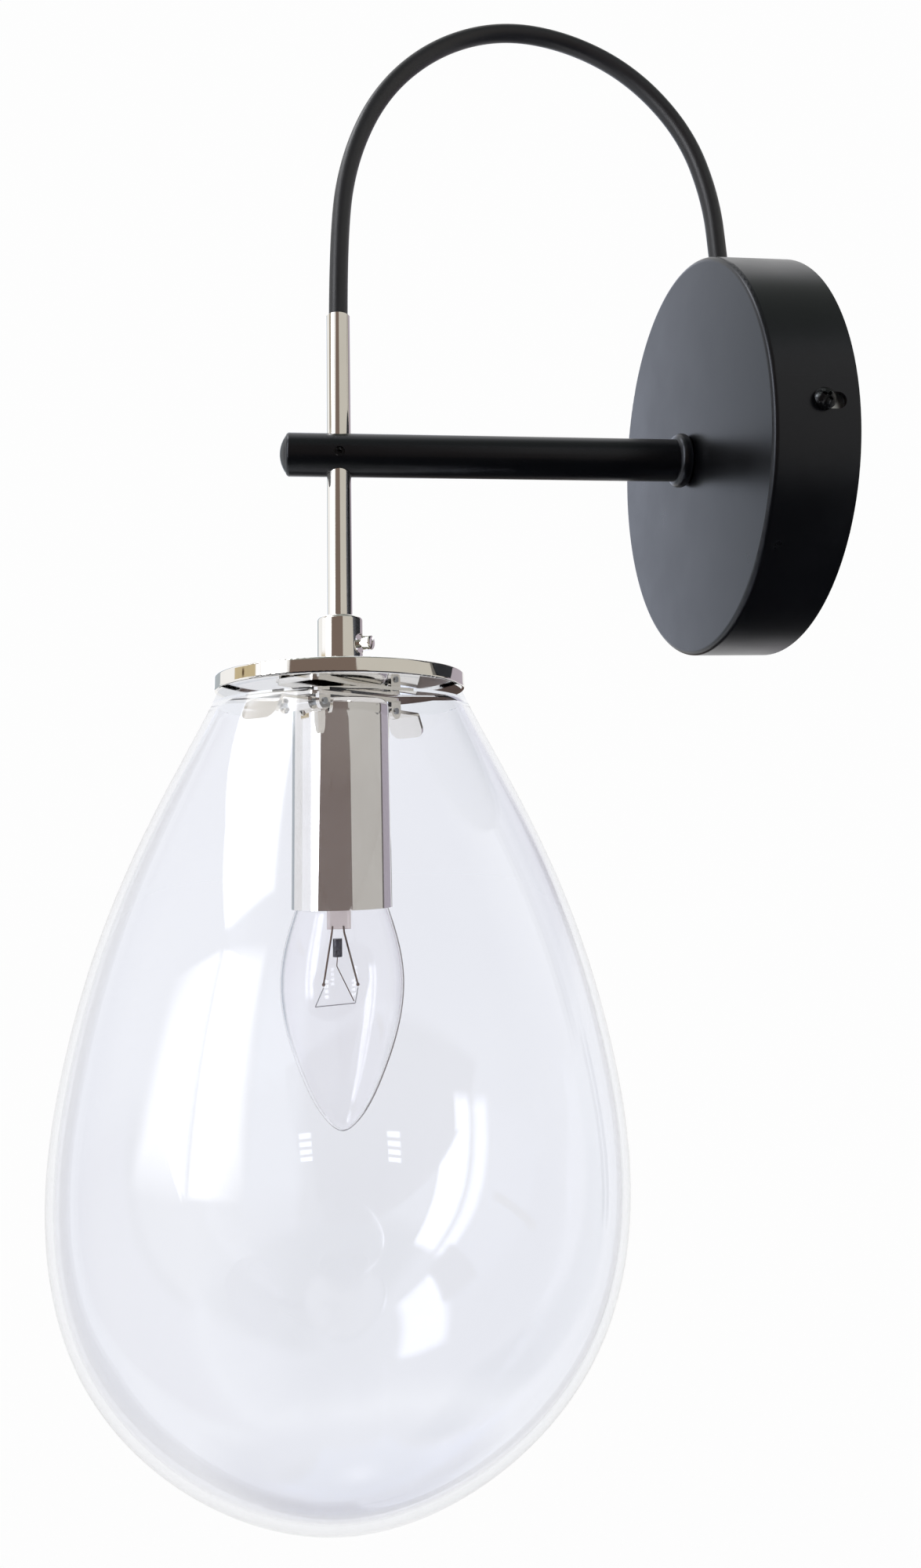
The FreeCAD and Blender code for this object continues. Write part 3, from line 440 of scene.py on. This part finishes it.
# The shade: clear soda-lime glass, blown into a mould, with a cut and fire-polished lip. It shows
# only by the window in it and a faint cold blue over what is behind. Its bending is set lower and
# its mirroring higher than real glass has, to match the photograph, and the lip does neither.
def blown_glass(name, pale, deep, ior, shine, ripple_height):
    """Clear glass whose tint drifts by a shade, with long slow ripples from blowing."""
    material, tree, output = new_material(name)
    place = add_node(tree, "TexCoord").outputs["Object"]
    ripple = add_node(tree, "TexNoise", {"Scale": 1 / (55 * MM), "Detail": 1}, {"Vector": place})
    cloud = add_node(tree, "TexNoise", {"Scale": 1 / (70 * MM), "Detail": 2}, {"Vector": place})
    tone = blend_of(tree, cloud.outputs["Fac"], pale, deep)
    bump = add_node(
        tree,
        "Bump",
        {"Strength": 0.1, "Distance": ripple_height * MM},
        {"Height": ripple.outputs["Fac"]},
    )
    tint = (shine, shine, shine, 1)
    shader = add_node(
        tree,
        "BsdfPrincipled",
        {"Roughness": 0.0, "IOR": ior, "Transmission Weight": 1.0, "Specular Tint": tint},
        {"Base Color": tone, "Normal": bump.outputs[0]},
    )
    tree.links.new(shader.outputs[0], output.inputs["Surface"])
    return material


def even_curve(points, start, finish, spacing):
    """Points along the curve of even bend through a half outline, given as radius and height."""
    rounds = 40
    fewest_steps = 4
    knots = [Vector(point) for point in points]
    spans = [(b - a).length for a, b in zip(knots[:-1], knots[1:])]
    slopes = [Vector(start).normalized()]
    slopes += [(c - a).normalized() for a, c in zip(knots[:-2], knots[2:])]
    slopes.append(Vector(finish).normalized())
    for _ in range(rounds):
        for i in range(1, len(knots) - 1):
            before = spans[i - 1]
            after = spans[i]
            pull = (knots[i] - knots[i - 1]) * 3 / before ** 2
            pull += (knots[i + 1] - knots[i]) * 3 / after ** 2
            pull = pull - slopes[i - 1] / before - slopes[i + 1] / after
            slopes[i] = pull / (2 / before + 2 / after)
    line = []
    for i, span in enumerate(spans):
        leaving = knots[i] + slopes[i] * span / 3
        arriving = knots[i + 1] - slopes[i + 1] * span / 3
        count = max(fewest_steps, round(span / spacing))
        line += interpolate_bezier(knots[i], leaving, arriving, knots[i + 1], count + 1)[:-1]
    return line + [knots[-1]]


def blown_shell(name, line, wall, rim, turns):
    """Shell of even wall: its section is drawn from the inner foot over the rim, then spun."""
    weld_distance = 0.005 * MM
    crease_angle = math.radians(40)
    rim_height = rim[0][1]
    inner = []
    for before, here, after in zip(line[:-2], line[1:-1], line[2:]):
        along = (after - before).normalized()
        inner.append(here + Vector((along.y, -along.x)) * wall)
    inner = [point for point in inner if point.y < rim_height] + [line[-1] + Vector((0, wall))]
    section = inner[::-1] + [Vector(point) for point in rim] + line
    places = [(point.x * MM, rod_y * MM, point.y * MM) for point in section]
    mesh = bpy.data.meshes.new(name)
    mesh.from_pydata(places, [(i, i + 1) for i in range(len(places) - 1)], [])
    piece = bpy.data.objects.new(name, mesh)
    bpy.context.scene.collection.objects.link(piece)
    bpy.ops.object.select_all(action="DESELECT")
    piece.select_set(True)
    bpy.context.view_layer.objects.active = piece
    bpy.ops.object.mode_set(mode="EDIT")
    bpy.ops.mesh.select_all(action="SELECT")
    bpy.ops.mesh.spin(steps=turns, angle=math.tau, center=(0, rod_y * MM, 0), axis=(0, 0, 1))
    bpy.ops.mesh.select_all(action="SELECT")
    bpy.ops.mesh.remove_doubles(threshold=weld_distance)
    bpy.ops.mesh.normals_make_consistent(inside=False)
    bpy.ops.object.mode_set(mode="OBJECT")
    bpy.ops.object.shade_smooth_by_angle(angle=crease_angle)
    return piece


rod_y = -130.0
shade_wall = 1.8
shade_spacing = 2.4
shade_turns = 200
lip_depth = 0.6
outwards_and_down = (0.42, -0.91)
level_inwards = (-1, 0)
shade_outline = [
    (34.4, -72.3),
    (47.1, -98.0),
    (60.6, -130.0),
    (69.5, -166.0),
    (71.4, -191.0),
    (64.5, -221.4),
    (40.1, -248.0),
    (0.0, -262.2),
]
shade_rim = [
    (33.3, -74.9),
    (31.6, -74.1),
    (30.3, -73.5),
    (30.05, -73.1),
    (30.0, -72.7),
    (30.05, -72.1),
    (30.1, -71.6),
    (30.3, -71.3),
    (30.6, -71.15),
    (30.9, -71.1),
    (33.2, -71.1),
    (33.7, -71.2),
    (34.05, -71.45),
    (34.3, -71.85),
]
shade_line = even_curve(shade_outline, outwards_and_down, level_inwards, shade_spacing)
shade = blown_shell("blown_shade", shade_line, shade_wall, shade_rim, shade_turns)
shade_glass = blown_glass(
    "blown_soda_lime_glass", "#fafbfe", "#f5f6fa", ior=1.15, shine=7, ripple_height=0.3,
)
dress(shade, shade_glass)
# The lip's glass is tinted a touch darker than the body's. This is painted shade that stands in for
# the faint line its bending would draw, since it neither bends nor mirrors.
lip_glass = blown_glass(
    "fire_polished_rim_glass", "#f6f7f9", "#eef0f4", ior=1.0, shine=1, ripple_height=0.1,
)
shade.data.materials.append(lip_glass)
lip_index = 1
lip_foot = (shade_rim[0][1] - lip_depth) * MM
for face in shade.data.polygons:
    if face.center.z > lip_foot:
        face.material_index = lip_index
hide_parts("glass_shade")
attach(shade, "hanger")


# The lamp's bulb and the foot of its mount: thin clear lamp glass, and a thicker lead glass foot
# that is pinched flat while it is soft, so it carries more ripples.
bulb_wall = 0.6
bulb_spacing = 0.8
bulb_turns = 120
bulb_mouth = [(4.5, -109.4)]
straight_down = (0, -1)
bulb_outline = [
    (5.1, -109.4),
    (5.8, -114.2),
    (9.3, -121.6),
    (12.65, -129.8),
    (16.3, -146.4),
    (15.0, -157.8),
    (10.7, -170.0),
    (6.9, -177.4),
    (3.6, -181.5),
    (0.0, -183.4),
]
bulb_line = even_curve(bulb_outline, straight_down, level_inwards, bulb_spacing)
bulb = blown_shell("bulb", bulb_line, bulb_wall, bulb_mouth, bulb_turns)
bulb_glass = blown_glass("lamp_bulb_glass", "#ffffff", "#fdfcfe", ior=1.15, shine=6, ripple_height=0.1)
dress(bulb, bulb_glass)
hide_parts("lamp_envelope")
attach(bulb, "lamp")
foot_glass = blown_glass(
    "pressed_lamp_foot_glass", "#e4dad6", "#cbbdb8", ior=1.5, shine=1, ripple_height=3.0,
)
dress(nodes["lamp_stem"], foot_glass)


# The lamp's cap with its soldered contact: nickel-plated brass, rolled to a thread, with a black
# glass insulator. Only the skirt shows until the lamp is unscrewed.
def lamp_metal(name, dark, light, smooth, dull):
    """Plated or drawn metal of the lamp with a half-millimetre mottle."""
    material, tree, output = new_material(name)
    place = add_node(tree, "TexCoord").outputs["Object"]
    mottle = add_node(tree, "TexNoise", {"Scale": 1 / (0.5 * MM), "Detail": 3}, {"Vector": place})
    tone = blend_of(tree, mottle.outputs["Fac"], dark, light)
    gloss = add_node(
        tree, "MapRange", {"To Min": smooth, "To Max": dull}, {"Value": mottle.outputs["Fac"]},
    )
    shader = add_node(
        tree, "BsdfPrincipled", {"Metallic": 1.0}, {"Base Color": tone, "Roughness": gloss.outputs[0]},
    )
    tree.links.new(shader.outputs[0], output.inputs["Surface"])
    return material


def dark_glass():
    """Black vitrified glass with a slight violet cast and a moulded skin."""
    material, tree, output = new_material("black_insulating_glass")
    place = add_node(tree, "TexCoord").outputs["Object"]
    skin = add_node(tree, "TexNoise", {"Scale": 1 / (1.2 * MM), "Detail": 2}, {"Vector": place})
    tone = blend_of(tree, skin.outputs["Fac"], "#14161f", "#232a3a")
    gloss = add_node(tree, "MapRange", {"To Min": 0.06, "To Max": 0.2}, {"Value": skin.outputs["Fac"]})
    shader = add_node(
        tree, "BsdfPrincipled", {"IOR": 1.6}, {"Base Color": tone, "Roughness": gloss.outputs[0]},
    )
    tree.links.new(shader.outputs[0], output.inputs["Surface"])
    return material


cap_metal = lamp_metal("rolled_nickel_plated_cap", "#bdb9b2", "#d8d5cf", smooth=0.16, dull=0.3)
solder = lamp_metal("lead_free_solder", "#8e9194", "#b0b2b4", smooth=0.3, dull=0.5)
dress(nodes["lamp_cap"], cap_metal)
dress(nodes["lamp_contact"], solder)
black_glass = dark_glass()
for name in ("lamp_insulator", "lamp_bead"):
    dress(nodes[name], black_glass)


# The filament and its mount: nickel lead wires, browned where they were sealed into the foot, and
# a coiled tungsten filament in three spans between the leads and one support.
filament_ends = [
    (0.3, -134.9, -148.95),
    (0.2, -137.1, -153.6),
    (-1.1, -126.6, -153.2),
    (0.3, -125.9, -149.15),
]
coil_diameter = 0.34
coil_wire = 0.11
coil_pitch = 0.24
steps_per_turn = 8


def coil_points():
    """Helix along the three straight spans of the filament."""
    points = []
    turn = 0.0
    for first, last in zip(filament_ends[:-1], filament_ends[1:]):
        start = Vector(first)
        span = Vector(last) - start
        across = span.cross(Vector((1, 0, 0))).normalized()
        other = span.cross(across).normalized()
        count = int(span.length / coil_pitch * steps_per_turn)
        for i in range(count):
            centre = start + span * (i / count)
            swing = math.cos(turn) * across + math.sin(turn) * other
            points.append(centre + swing * (coil_diameter - coil_wire) / 2)
            turn += 2 * math.pi / steps_per_turn
    return points


wire_metal = lamp_metal("browned_nickel_wire", "#5d4a40", "#8b7a6e", smooth=0.25, dull=0.45)
dress(nodes["lamp_wires"], wire_metal)
_, coil = line_and_tube("filament_coil", coil_points(), coil_wire, roundness=0)
coil_metal = lamp_metal("coiled_tungsten", "#5c5a60", "#807c80", smooth=0.3, dull=0.5)
dress(coil, coil_metal)
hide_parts("lamp_filament")
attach(coil, "lamp")


# The studio: a white sky and soft-edged cards that only mirrored rays see, never the camera. The
# near glass, the far glass, the black coat and the metal each have cards of their own, since the
# few mirrored things that the photograph shows can't come from one simple room.
def reflected_only(name, colour, strength, seen_in):
    """Glow that only mirrored rays see, by what mirrored them.

    "glass" is the shade's near side, "far glass" is clear glass and metal seen through it, "paint"
    is anything not mirror-sharp, such as the black coat, and "metal" is all but the near glass.
    """
    near_layers = 2.5
    material, tree, output = new_material(name)
    lamp = add_node(tree, "Emission", {"Color": linear(colour), "Strength": strength})
    clear = add_node(tree, "BsdfTransparent")
    path = add_node(tree, "LightPath")
    fade = add_node(tree, "Attribute", attribute_name="fade")
    mirrored = add_node(
        tree, "Math", {1: 0.5}, {0: path.outputs["Glossy Depth"]}, operation="GREATER_THAN",
    )
    faded = add_node(
        tree,
        "Math",
        links={0: mirrored.outputs[0], 1: fade.outputs["Fac"]},
        operation="MULTIPLY",
    )
    few = add_node(
        tree,
        "Math",
        {1: near_layers},
        {0: path.outputs["Transmission Depth"]},
        operation="LESS_THAN",
    )
    sharp = path.outputs["Is Singular Ray"]
    near_glass = add_node(tree, "Math", links={0: sharp, 1: few.outputs[0]}, operation="MULTIPLY")
    chosen = near_glass
    if seen_in == "metal":
        chosen = add_node(tree, "Math", {0: 1.0}, {1: near_glass.outputs[0]}, operation="SUBTRACT")
    if seen_in == "paint":
        chosen = add_node(tree, "Math", {0: 1.0}, {1: sharp}, operation="SUBTRACT")
    if seen_in == "far glass":
        chosen = add_node(
            tree, "Math", links={0: sharp, 1: near_glass.outputs[0]}, operation="SUBTRACT",
        )
    share = add_node(
        tree, "Math", links={0: faded.outputs[0], 1: chosen.outputs[0]}, operation="MULTIPLY",
    )
    shader = add_node(tree, "MixShader", links={0: share.outputs[0]})
    tree.links.new(clear.outputs[0], shader.inputs[1])
    tree.links.new(lamp.outputs[0], shader.inputs[2])
    tree.links.new(shader.outputs[0], output.inputs["Surface"])
    return material


sky_strength = 0.985
world = bpy.data.worlds.new("studio_sky")
bpy.context.scene.world = world
world.use_nodes = True
world.node_tree.nodes["Background"].inputs["Color"].default_value = (1, 1, 1, 1)
world.node_tree.nodes["Background"].inputs["Strength"].default_value = sky_strength
bpy.context.scene.view_settings.view_transform = "Standard"

studio_centre = Vector((0, -0.1, -0.05))


def towards(azimuth, elevation, distance):
    """Place in the given direction from the studio's centre."""
    a = math.radians(azimuth)
    e = math.radians(elevation)
    direction = Vector((math.sin(a) * math.cos(e), -math.cos(a) * math.cos(e), math.sin(e)))
    return tuple(studio_centre + direction * distance)


def glowing_piece(name, vertices, faces, fades, colour, strength, seen_in):
    """Stage piece that glows by its points' fade values."""
    mesh = bpy.data.meshes.new(name)
    mesh.from_pydata(vertices, [], faces)
    fade = mesh.attributes.new("fade", "FLOAT", "POINT")
    fade.data.foreach_set("value", fades)
    piece = bpy.data.objects.new(name, mesh)
    bpy.context.scene.collection.objects.link(piece)
    piece.data.materials.append(reflected_only(name, colour, strength, seen_in))
    piece.visible_camera = False
    piece.visible_diffuse = False
    piece.visible_shadow = False


def card(name, azimuths, elevations, soft, colour, strength=1.0, distance=1.5, seen_in="metal"):
    """Curved card between two azimuths and two elevations, with edges that fade over some degrees."""
    column_parts = 10
    row_parts = 6
    first, last = azimuths
    low, high = elevations
    width = last - first - 2 * soft[0]
    height = high - low - 2 * soft[1]
    columns = [first + soft[0] + width * i / column_parts for i in range(column_parts + 1)]
    columns = [first] + columns + [last]
    rows = [low + soft[1] + height * i / row_parts for i in range(row_parts + 1)]
    rows = [low] + rows + [high]
    vertices = []
    fades = []
    for azimuth in columns:
        for elevation in rows:
            vertices.append(towards(azimuth, elevation, distance))
            border = azimuth in (columns[0], columns[-1]) or elevation in (rows[0], rows[-1])
            fades.append(0.0 if border else 1.0)
    tall = len(rows)
    faces = []
    for column in range(len(columns) - 1):
        for row in range(tall - 1):
            corner = column * tall + row
            faces.append((corner, corner + 1, corner + tall + 1, corner + tall))
    glowing_piece(name, vertices, faces, fades, colour, strength, seen_in)


def pane(name, corners, soft, colour, strength, distance=1.3, seen_in="glass"):
    """Window pane given by its corners, each with its own softness from 0 to 1."""
    middle = Vector((sum(c[0] for c in corners), sum(c[1] for c in corners))) / len(corners)
    vertices = []
    for corner, share in zip(corners, soft):
        vertices.append(towards(*(middle + (Vector(corner) - middle) * (1 - share)), distance))
    vertices += [towards(*corner, distance) for corner in corners]
    count = len(corners)
    faces = [tuple(range(count))]
    for i in range(count):
        after = (i + 1) % count
        faces.append((i, after, after + count, i + count))
    glowing_piece(name, vertices, faces, [1.0] * count + [0.0] * count, colour, strength, seen_in)


# What the polished metal, the black coat, the lamp and the shade's far side mirror: a bright
# window, brown at the camera's side, beige towards the wall and dark below. The bands and dots
# break up the ends of the disc's rim, and the slats give the far glass its short streaks.
card("window_side", (-14, 16), (-18, 46), (3, 4), "#fbfcff", 1.2, distance=1.3)
card("window_far", (14.5, 24), (-19, 46), (3, 4), "#fbfcff", 5.0, distance=1.25)
card("window_near", (25, 39.5), (-19, 46), (0.5, 4), "#fbfcff", 6.0, distance=1.25)
card("window_high", (-30, 18), (49, 69), (3, 4), "#fbfcff", 5.0, distance=1.3)
card("plaster_wall", (-12, 16), (26, 44), (2, 2), "#aaa294", distance=0.45)
brown_corners = ((18, -24), (116, -24), (109, 3), (101, 9), (101, 40), (70, 40))
pane("brown_side", brown_corners, (0.04,) * 6, "#796a61", 1.0, distance=1.5, seen_in="metal")
card("beige_side", (100, 196), (-24, 40), (1.5, 8), "#cbc7be", distance=1.52)
card("dark_strip", (194, 201), (-24, 40), (1, 8), "#5c5450", distance=1.4)
card("mauve_side", (199, 241), (-24, 40), (1.5, 8), "#b3aab4", distance=1.52)
card("grey_side", (290, 313), (-24, 40), (1.5, 8), "#b5bdc2", distance=1.52)
card("sky_side", (258, 290), (2, 50), (3, 6), "#e6edff", 1.7, distance=1.55)
card("dark_floor", (0, 150), (-88, -12), (10, 12), "#16161c", distance=0.8, seen_in="paint")
card("dark_below", (-180, 180), (-90, -62), (1, 6), "#16161c", distance=0.82, seen_in="paint")
card("dark_wall_foot", (138, 290), (-86, -22), (8, 12), "#1c1d23", distance=0.84, seen_in="paint")
card("dim_ceiling", (30, 200), (32, 85), (12, 12), "#868b84", distance=1.6)
card("far_dark", (250, 270.4), (-30, -2), (0.5, 1), "#5d4f49", distance=1.4)
band_foot, band_pitch, band_height = -10.2, 0.55, 0.3
for band in range(3):
    low = band_foot + band * band_pitch
    name = "far_band_%d" % band
    card(name, (270.4, 273), (low, low + band_height), (0.4, 0.05), "#48595b", distance=1.36)
card("gold_patch", (-19, 9), (6, 9.6), (1, 0.2), "#cbbb97", distance=1.1)
dot_start, dot_foot, dot_step, dot_rise, dot_width, dot_height = -14, 6.8, 6, 0.8, 3, 0.6
for dot in range(4):
    first = dot_start + dot_step * dot
    low = dot_foot + dot_rise * (dot % 3)
    ends = (first, first + dot_width)
    name = "gold_dot_%d" % dot
    card(name, ends, (low, low + dot_height), (0.3, 0.1), "#57432f", distance=1.08)
slat_foot, slat_pitch, slat_height, slat_width = -35, 3.6, 2.6, 7
for side, first in enumerate((50, 97)):
    for slat in range(4):
        low = slat_foot + slat * slat_pitch
        heights = (low, low + slat_height)
        ends = (first, first + slat_width)
        name = "slat_%d_%d" % (side, slat)
        card(name, ends, heights, (0.4, 0.3), "#ffffff", 5.0, distance=0.25, seen_in="far glass")

# What the shade's near side mirrors: a tall window of three panes with bars between them, in a
# dim lavender room with a darker table below and two thin dark bars at its far end.
upper_corners = ((30, 23), (51, 33), (36, 54), (-17, 54), (-17, 36), (9, 34))
inner_corners = ((31.6, -14), (54, -13), (52, 25), (31.6, 21))
outer_corners = ((6, -15), (30.4, -15), (30.4, 21), (10, 12))
pane("pane_upper", upper_corners, (0.06,) * 6, "#ffffff", 6.0)
pane("pane_inner", inner_corners, (0.1, 0.5, 0.2, 0.04), "#ffffff", 6.0)
pane("pane_outer", outer_corners, (0.8, 0.1, 0.1, 0.8), "#ffffff", 5.0)
card("dim_room", (34, 196), (-64, 60), (34, 10), "#8a8794", distance=0.9, seen_in="glass")
card("pale_curtain", (50, 74), (-22, 22), (5, 10), "#e8eefc", 1.15, distance=0.85, seen_in="glass")
card("dim_middle", (60, 112), (-66, 0), (18, 16), "#2c2833", distance=0.88, seen_in="glass")
card("dim_corner", (-40, -8), (-60, 20), (12, 12), "#e9ebf1", distance=0.9, seen_in="glass")
card("dim_table", (-180, 180), (-90, -62), (1, 9), "#8d8c9c", distance=0.8, seen_in="glass")
card("dim_table_middle", (-180, 180), (-90, -76), (1, 5), "#1e1d26", distance=0.78, seen_in="glass")
card("dim_far_side", (194, 238), (-4, 44), (8, 8), "#c4c1cc", distance=0.9, seen_in="glass")
card("dark_bar", (194.5, 200), (-8, 34), (1, 6), "#45404a", distance=0.86, seen_in="glass")
card("thin_bar", (203, 206), (-30, -6), (0.6, 3), "#45404a", distance=0.86, seen_in="glass")

# The floor: a sheet of matt white paper, large enough that its end never shows through the glass.
floor_size = 60
floor_height = -0.9
bpy.ops.mesh.primitive_plane_add(size=floor_size, location=(0, 0, floor_height))
floor = bpy.context.object
floor.name = "floor"
floor_material, floor_tree, floor_output = new_material("white_paper_floor")
paper = add_node(floor_tree, "BsdfDiffuse", {"Color": (1, 1, 1, 1)})
floor_tree.links.new(paper.outputs[0], floor_output.inputs["Surface"])
floor.data.materials.append(floor_material)
